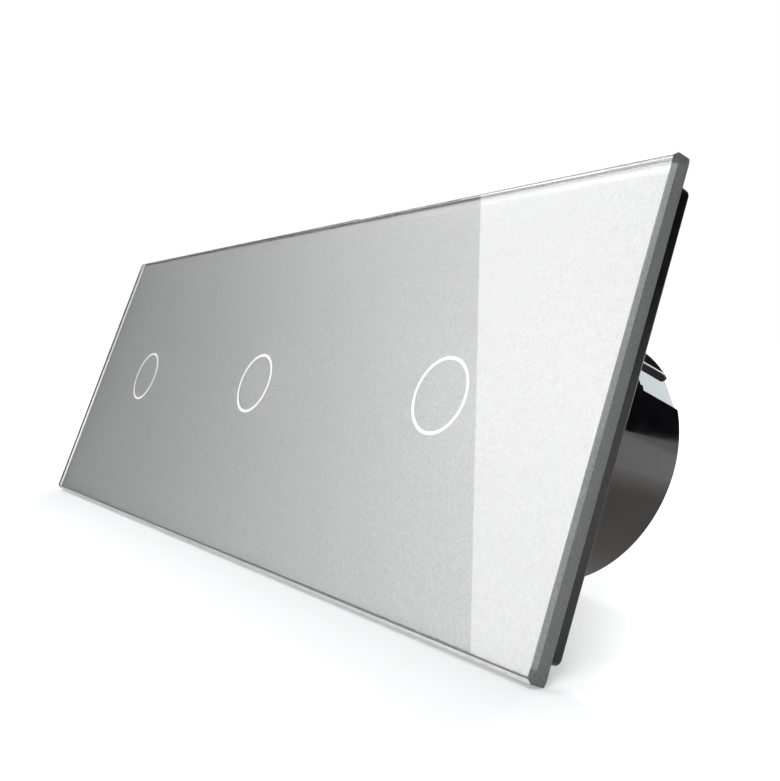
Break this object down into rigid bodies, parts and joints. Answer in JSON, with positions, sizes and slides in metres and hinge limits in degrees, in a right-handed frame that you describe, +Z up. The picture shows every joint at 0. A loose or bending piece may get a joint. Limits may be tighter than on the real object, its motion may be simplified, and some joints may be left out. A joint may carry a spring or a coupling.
{
  "type": "touch light switch",
  "caption": "Long silver glass touch panel with a printed ring over each round wall-box module; the panel pulls off, and relays and screw terminals sit inside.",
  "frame": {"origin": "wall plane, midway between the middle module's two box screws", "axes": "+X right along the panel, +Y into the wall, +Z up; the glass faces -Y"},
  "size_m": [0.222, 0.0372, 0.08],
  "materials": {
    "clear_glass": "clear float glass with ground edges",
    "silver_paint": "silver back paint with fine flake",
    "white_print": "white screen print",
    "foam_tape": "black double-sided tape",
    "black_frame": "satin moulded black",
    "gloss_black": "glossy moulded black",
    "black_moulding": "fine matt moulded black",
    "zinc_plate": "zinc-plated pressed steel",
    "zinc_screw": "zinc-plated screw",
    "soft_iron": "plated soft iron",
    "contact_brass": "plain brass strip",
    "copper_winding": "lacquered copper wire on its bobbin",
    "spring_wire": "plated spring wire",
    "circuit_board": "green solder mask",
    "clear_guide": "clear moulded acrylic",
    "lamp_resin": "pale moulded resin",
    "relay_base": "dark moulded base",
    "relay_cover": "blue moulded cover",
    "capacitor_sleeve": "dark shrink sleeve"
  },
  "bodies": {
    "modules": {"housing_screws": "zinc_screw", "indicator_lamps": "lamp_resin", "board_headers": "black_moulding", "relay_bases": "relay_base", "relay_coils": "copper_winding", "relay_yokes": "soft_iron", "relay_contacts": "contact_brass", "relay_covers": "relay_cover", "capacitors": "capacitor_sleeve", "terminal_bars": "contact_brass", "mount_frame_left": "zinc_plate", "mount_frame_mid": "zinc_plate", "mount_frame_right": "zinc_plate", "rear_housing_left": "gloss_black", "rear_housing_mid": "gloss_black", "rear_housing_right": "gloss_black", "front_cover_left": "black_moulding", "front_cover_mid": "black_moulding", "front_cover_right": "black_moulding", "sensor_board_left": "circuit_board", "sensor_board_mid": "circuit_board", "sensor_board_right": "circuit_board", "light_guide_left": "clear_guide", "light_guide_mid": "clear_guide", "light_guide_right": "clear_guide", "touch_spring_left": "spring_wire", "touch_spring_mid": "spring_wire", "touch_spring_right": "spring_wire", "power_board_left": "circuit_board", "power_board_mid": "circuit_board", "power_board_right": "circuit_board", "terminal_block_left": "black_moulding", "terminal_block_mid": "black_moulding", "terminal_block_right": "black_moulding"},
    "panel": {"glass_panel": "clear_glass", "silver_paint": "silver_paint", "ring_marks": "white_print", "panel_tape": "foam_tape", "panel_frame": "black_frame"},
    "relay_armature_left": {"relay_armature_left": "soft_iron"},
    "terminal_screw_left_1": {"terminal_screw_left_1": "zinc_screw"},
    "terminal_cage_left_1": {"terminal_cage_left_1": "zinc_plate"},
    "terminal_screw_left_2": {"terminal_screw_left_2": "zinc_screw"},
    "terminal_cage_left_2": {"terminal_cage_left_2": "zinc_plate"},
    "terminal_screw_left_3": {"terminal_screw_left_3": "zinc_screw"},
    "terminal_cage_left_3": {"terminal_cage_left_3": "zinc_plate"},
    "relay_armature_mid": {"relay_armature_mid": "soft_iron"},
    "terminal_screw_mid_1": {"terminal_screw_mid_1": "zinc_screw"},
    "terminal_cage_mid_1": {"terminal_cage_mid_1": "zinc_plate"},
    "terminal_screw_mid_2": {"terminal_screw_mid_2": "zinc_screw"},
    "terminal_cage_mid_2": {"terminal_cage_mid_2": "zinc_plate"},
    "terminal_screw_mid_3": {"terminal_screw_mid_3": "zinc_screw"},
    "terminal_cage_mid_3": {"terminal_cage_mid_3": "zinc_plate"},
    "relay_armature_right": {"relay_armature_right": "soft_iron"},
    "terminal_screw_right_1": {"terminal_screw_right_1": "zinc_screw"},
    "terminal_cage_right_1": {"terminal_cage_right_1": "zinc_plate"},
    "terminal_screw_right_2": {"terminal_screw_right_2": "zinc_screw"},
    "terminal_cage_right_2": {"terminal_cage_right_2": "zinc_plate"},
    "terminal_screw_right_3": {"terminal_screw_right_3": "zinc_screw"},
    "terminal_cage_right_3": {"terminal_cage_right_3": "zinc_plate"}
  },
  "joints": [
    {"name": "panel_pull", "type": "slide", "parent": "modules", "child": "panel", "axis": [0, -1, 0], "range_m": [0, 0.025]},
    {"name": "relay_tilt_left", "type": "hinge", "parent": "modules", "child": "relay_armature_left", "pos_m": [-0.071, 0.0213, -0.0152], "axis": [1, 0, 0], "range_deg": [0, 4], "stiffness_Nm_per_rad": 0.02, "springref_deg": -5.73},
    {"name": "screw_turn_left_1", "type": "hinge", "parent": "modules", "child": "terminal_screw_left_1", "pos_m": [-0.0772, 0.0215, 0.0153], "axis": [0, -1, 0], "range_deg": [0, 1729]},
    {"name": "cage_rise_left_1", "type": "slide", "parent": "modules", "child": "terminal_cage_left_1", "axis": [0, 1, 0], "range_m": [0, 0.0024]},
    {"name": "screw_turn_left_2", "type": "hinge", "parent": "modules", "child": "terminal_screw_left_2", "pos_m": [-0.071, 0.0215, 0.0153], "axis": [0, -1, 0], "range_deg": [0, 1729]},
    {"name": "cage_rise_left_2", "type": "slide", "parent": "modules", "child": "terminal_cage_left_2", "axis": [0, 1, 0], "range_m": [0, 0.0024]},
    {"name": "screw_turn_left_3", "type": "hinge", "parent": "modules", "child": "terminal_screw_left_3", "pos_m": [-0.0648, 0.0215, 0.0153], "axis": [0, -1, 0], "range_deg": [0, 1729]},
    {"name": "cage_rise_left_3", "type": "slide", "parent": "modules", "child": "terminal_cage_left_3", "axis": [0, 1, 0], "range_m": [0, 0.0024]},
    {"name": "relay_tilt_mid", "type": "hinge", "parent": "modules", "child": "relay_armature_mid", "pos_m": [0, 0.0213, -0.0152], "axis": [1, 0, 0], "range_deg": [0, 4], "stiffness_Nm_per_rad": 0.02, "springref_deg": -5.73},
    {"name": "screw_turn_mid_1", "type": "hinge", "parent": "modules", "child": "terminal_screw_mid_1", "pos_m": [-0.0062, 0.0215, 0.0153], "axis": [0, -1, 0], "range_deg": [0, 1729]},
    {"name": "cage_rise_mid_1", "type": "slide", "parent": "modules", "child": "terminal_cage_mid_1", "axis": [0, 1, 0], "range_m": [0, 0.0024]},
    {"name": "screw_turn_mid_2", "type": "hinge", "parent": "modules", "child": "terminal_screw_mid_2", "pos_m": [0, 0.0215, 0.0153], "axis": [0, -1, 0], "range_deg": [0, 1729]},
    {"name": "cage_rise_mid_2", "type": "slide", "parent": "modules", "child": "terminal_cage_mid_2", "axis": [0, 1, 0], "range_m": [0, 0.0024]},
    {"name": "screw_turn_mid_3", "type": "hinge", "parent": "modules", "child": "terminal_screw_mid_3", "pos_m": [0.0062, 0.0215, 0.0153], "axis": [0, -1, 0], "range_deg": [0, 1729]},
    {"name": "cage_rise_mid_3", "type": "slide", "parent": "modules", "child": "terminal_cage_mid_3", "axis": [0, 1, 0], "range_m": [0, 0.0024]},
    {"name": "relay_tilt_right", "type": "hinge", "parent": "modules", "child": "relay_armature_right", "pos_m": [0.071, 0.0213, -0.0152], "axis": [1, 0, 0], "range_deg": [0, 4], "stiffness_Nm_per_rad": 0.02, "springref_deg": -5.73},
    {"name": "screw_turn_right_1", "type": "hinge", "parent": "modules", "child": "terminal_screw_right_1", "pos_m": [0.0648, 0.0215, 0.0153], "axis": [0, -1, 0], "range_deg": [0, 1729]},
    {"name": "cage_rise_right_1", "type": "slide", "parent": "modules", "child": "terminal_cage_right_1", "axis": [0, 1, 0], "range_m": [0, 0.0024]},
    {"name": "screw_turn_right_2", "type": "hinge", "parent": "modules", "child": "terminal_screw_right_2", "pos_m": [0.071, 0.0215, 0.0153], "axis": [0, -1, 0], "range_deg": [0, 1729]},
    {"name": "cage_rise_right_2", "type": "slide", "parent": "modules", "child": "terminal_cage_right_2", "axis": [0, 1, 0], "range_m": [0, 0.0024]},
    {"name": "screw_turn_right_3", "type": "hinge", "parent": "modules", "child": "terminal_screw_right_3", "pos_m": [0.0772, 0.0215, 0.0153], "axis": [0, -1, 0], "range_deg": [0, 1729]},
    {"name": "cage_rise_right_3", "type": "slide", "parent": "modules", "child": "terminal_cage_right_3", "axis": [0, 1, 0], "range_m": [0, 0.0024]}
  ],
  "couplings": [
    {"joint": "screw_turn_left_1", "follows": "cage_rise_left_1", "rad_per_m": 12566},
    {"joint": "screw_turn_left_2", "follows": "cage_rise_left_2", "rad_per_m": 12566},
    {"joint": "screw_turn_left_3", "follows": "cage_rise_left_3", "rad_per_m": 12566},
    {"joint": "screw_turn_mid_1", "follows": "cage_rise_mid_1", "rad_per_m": 12566},
    {"joint": "screw_turn_mid_2", "follows": "cage_rise_mid_2", "rad_per_m": 12566},
    {"joint": "screw_turn_mid_3", "follows": "cage_rise_mid_3", "rad_per_m": 12566},
    {"joint": "screw_turn_right_1", "follows": "cage_rise_right_1", "rad_per_m": 12566},
    {"joint": "screw_turn_right_2", "follows": "cage_rise_right_2", "rad_per_m": 12566},
    {"joint": "screw_turn_right_3", "follows": "cage_rise_right_3", "rad_per_m": 12566}
  ]
}
